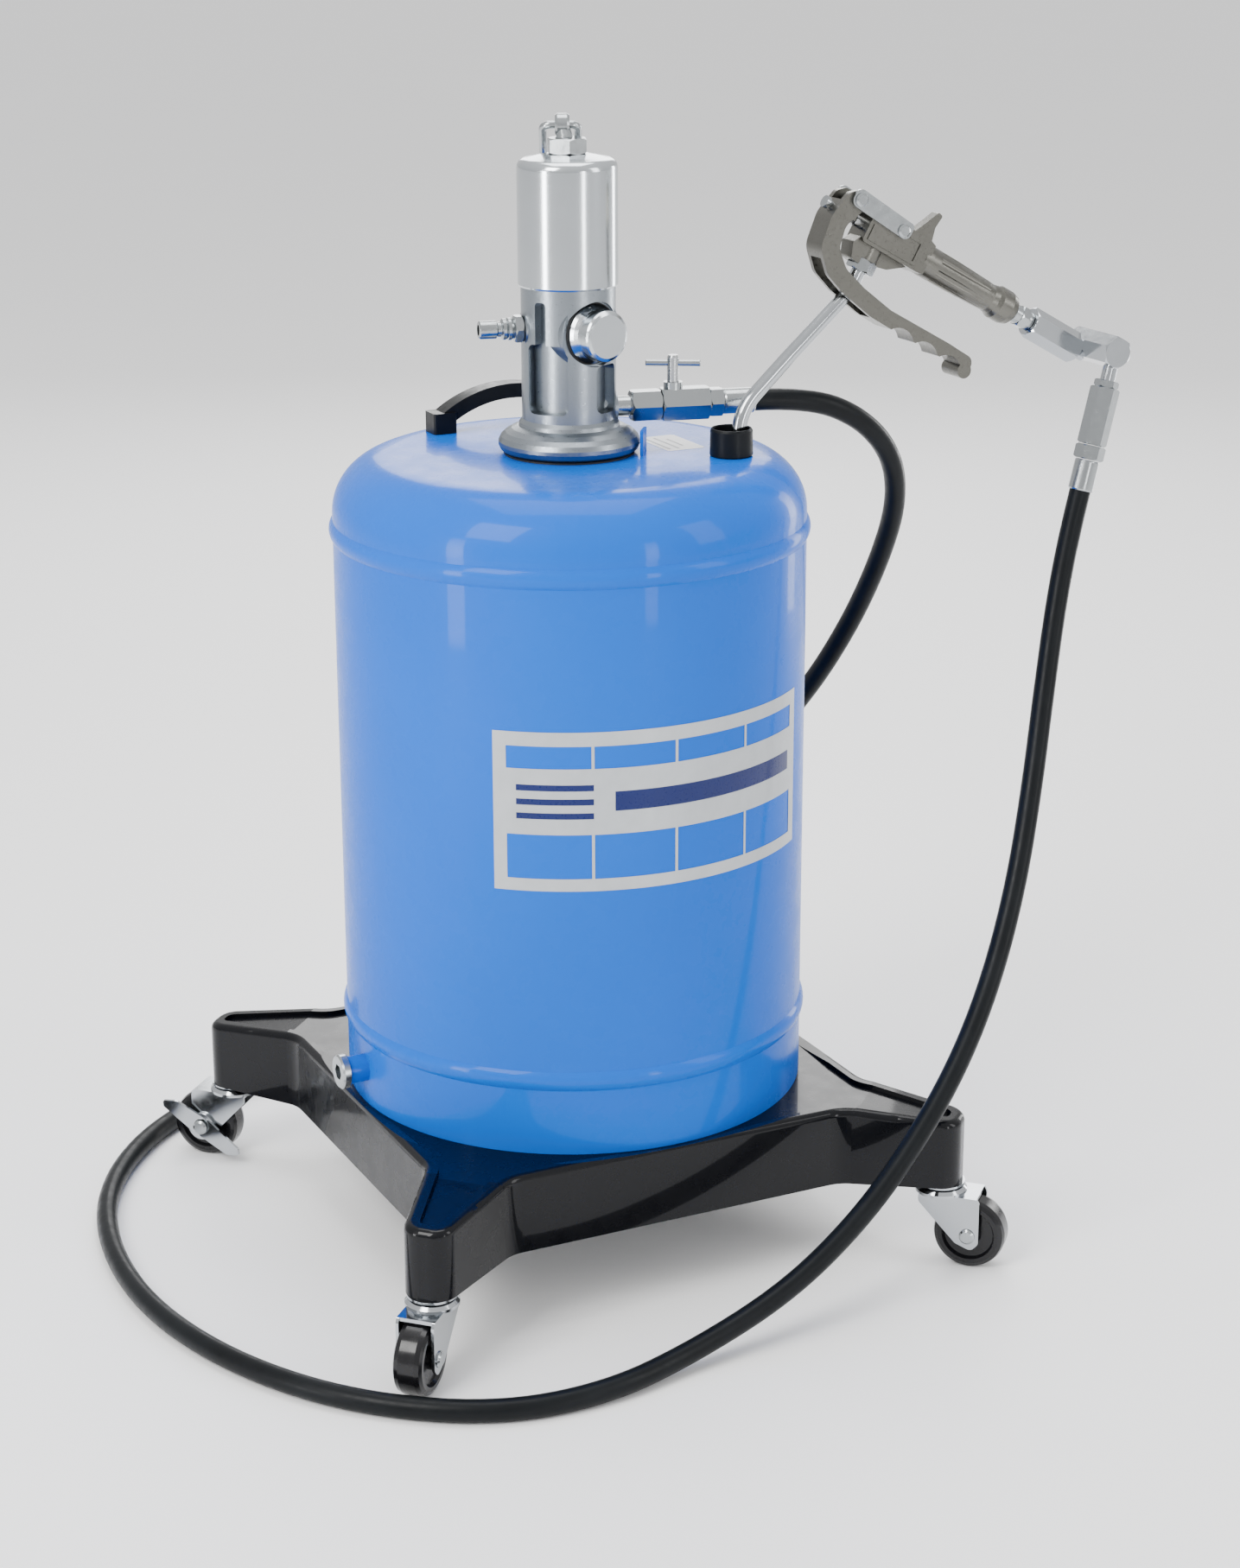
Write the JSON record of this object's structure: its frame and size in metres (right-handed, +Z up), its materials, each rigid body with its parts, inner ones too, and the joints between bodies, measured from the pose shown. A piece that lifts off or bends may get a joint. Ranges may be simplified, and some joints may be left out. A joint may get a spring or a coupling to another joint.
{
  "type": "air-operated gear oil dispenser",
  "caption": "Blue oil drum on a black castor base, with an air-operated piston pump on top, a hose to a lever-operated gun, and a carrying handle.",
  "frame": {"origin": "on the floor, under the drum's axis", "axes": "+Z up along the drum's axis, -Y towards the drum's decorated front, +X towards the gun"},
  "size_m": [0.7212, 0.5975, 0.7764],
  "materials": {
    "black_paint": "gloss black enamel on pressed steel",
    "blue_paint": "gloss sky blue enamel",
    "chrome": "bright chrome plate",
    "zinc": "bright zinc plate",
    "steel": "ground steel",
    "wheel_black": "gloss black plastic",
    "cast_aluminium": "bead-blasted cast aluminium",
    "polished_aluminium": "turned and polished aluminium",
    "gun_aluminium": "warm grey cast aluminium",
    "black_rubber": "semi-gloss black rubber",
    "black_plastic": "moulded black plastic",
    "seal": "nitrile rubber"
  },
  "bodies": {
    "base": {"base_frame": "black_paint", "castor_stems": "chrome", "drum_bottom": "blue_paint", "drum_shell": "blue_paint", "drum_top": "blue_paint", "drain_socket": "blue_paint", "drain_plug": "zinc", "carry_handle": "black_plastic", "gun_holder": "black_rubber", "flange_gasket": "seal", "pump_flange": "cast_aluminium", "pump_body": "cast_aluminium", "air_cylinder": "polished_aluminium", "valve_cap": "polished_aluminium", "valve_cap_oring": "seal", "air_plug": "zinc", "eye_bolt": "zinc", "pump_tube": "steel", "foot_valve": "steel", "outlet_nipple": "zinc", "outlet_union": "zinc", "valve_body": "zinc", "hose_nuts": "zinc", "hose_ferrules": "zinc", "hose_sleeve": "zinc", "oil_hose": "black_rubber", "gun_body": "gun_aluminium", "link_plates": "zinc", "link_pins": "zinc", "nozzle_nut": "zinc", "nozzle_tube": "chrome", "gun_nipple": "zinc", "swivel_first": "chrome", "swivel_second": "chrome"},
    "castor_1": {"castor_fork_1": "chrome", "castor_axle_1": "zinc"},
    "wheel_1": {"castor_wheel_1": "wheel_black"},
    "castor_2": {"castor_fork_2": "chrome", "castor_axle_2": "zinc"},
    "wheel_2": {"castor_wheel_2": "wheel_black"},
    "castor_3": {"castor_fork_3": "chrome", "castor_axle_3": "zinc"},
    "wheel_3": {"castor_wheel_3": "wheel_black"},
    "castor_4": {"castor_fork_4": "chrome", "castor_axle_4": "zinc"},
    "wheel_4": {"castor_wheel_4": "wheel_black"},
    "brake": {"brake_lever": "chrome"},
    "ring": {"lifting_ring": "zinc"},
    "valve_handle": {"valve_stem": "steel", "tee_bar": "zinc", "valve_needle": "steel"},
    "lever": {"gun_lever": "gun_aluminium", "lever_screw": "zinc"},
    "gun_pin": {"gun_valve_pin": "steel"},
    "piston": {"air_piston": "polished_aluminium", "piston_rod": "steel", "pump_plunger": "steel"},
    "spool": {"spool_valve": "steel"},
    "ball": {"foot_valve_ball": "steel"}
  },
  "joints": [
    {"name": "castor_swivel_1", "type": "hinge", "parent": "base", "child": "castor_1", "pos_m": [-0.19092, -0.19092, 0.055], "axis": [0, 0, 1], "continuous": true},
    {"name": "wheel_spin_1", "type": "hinge", "parent": "castor_1", "child": "wheel_1", "pos_m": [-0.20647, -0.20647, 0.025], "axis": [0.7071, -0.7071, 0], "continuous": true},
    {"name": "castor_swivel_2", "type": "hinge", "parent": "base", "child": "castor_2", "pos_m": [0.19092, -0.19092, 0.055], "axis": [0, 0, 1], "continuous": true},
    {"name": "wheel_spin_2", "type": "hinge", "parent": "castor_2", "child": "wheel_2", "pos_m": [0.20647, -0.20647, 0.025], "axis": [0.7071, 0.7071, 0], "continuous": true},
    {"name": "castor_swivel_3", "type": "hinge", "parent": "base", "child": "castor_3", "pos_m": [0.19092, 0.19092, 0.055], "axis": [0, 0, 1], "continuous": true},
    {"name": "wheel_spin_3", "type": "hinge", "parent": "castor_3", "child": "wheel_3", "pos_m": [0.20647, 0.20647, 0.025], "axis": [-0.7071, 0.7071, 0], "continuous": true},
    {"name": "castor_swivel_4", "type": "hinge", "parent": "base", "child": "castor_4", "pos_m": [-0.19092, 0.19092, 0.055], "axis": [0, 0, 1], "continuous": true},
    {"name": "wheel_spin_4", "type": "hinge", "parent": "castor_4", "child": "wheel_4", "pos_m": [-0.20647, 0.20647, 0.025], "axis": [-0.7071, -0.7071, 0], "continuous": true},
    {"name": "brake_pedal", "type": "hinge", "parent": "castor_4", "child": "brake", "pos_m": [-0.20647, 0.20647, 0.025], "axis": [-0.7071, -0.7071, 0], "range_deg": [0, 28]},
    {"name": "ring_swing", "type": "hinge", "parent": "base", "child": "ring", "pos_m": [0, 0.00993, 0.769], "axis": [0.9063, -0.4226, 0], "range_deg": [0, 215]},
    {"name": "valve_turn", "type": "hinge", "parent": "base", "child": "valve_handle", "pos_m": [0.06967, -0.01608, 0.5835], "axis": [0, 0, 1], "range_deg": [0, 360]},
    {"name": "lever_squeeze", "type": "hinge", "parent": "base", "child": "lever", "pos_m": [0.1805, -0.0594, 0.71906], "axis": [0, -1, 0], "range_deg": [0, 12], "stiffness_Nm_per_rad": 4, "springref_deg": -14.32},
    {"name": "gun_pin_slide", "type": "slide", "parent": "base", "child": "gun_pin", "axis": [0.8733, 0, -0.4871], "range_m": [0, 0.00245]},
    {"name": "piston_stroke", "type": "slide", "parent": "base", "child": "piston", "axis": [0, 0, 1], "range_m": [0, 0.055]},
    {"name": "spool_shift", "type": "slide", "parent": "base", "child": "spool", "axis": [0.2079, -0.9781, 0], "range_m": [0, 0.004]},
    {"name": "ball_lift", "type": "slide", "parent": "base", "child": "ball", "axis": [0, 0, 1], "range_m": [0, 0.004]}
  ],
  "couplings": [
    {"joint": "gun_pin_slide", "follows": "lever_squeeze", "m_per_rad": 0.0116}
  ]
}
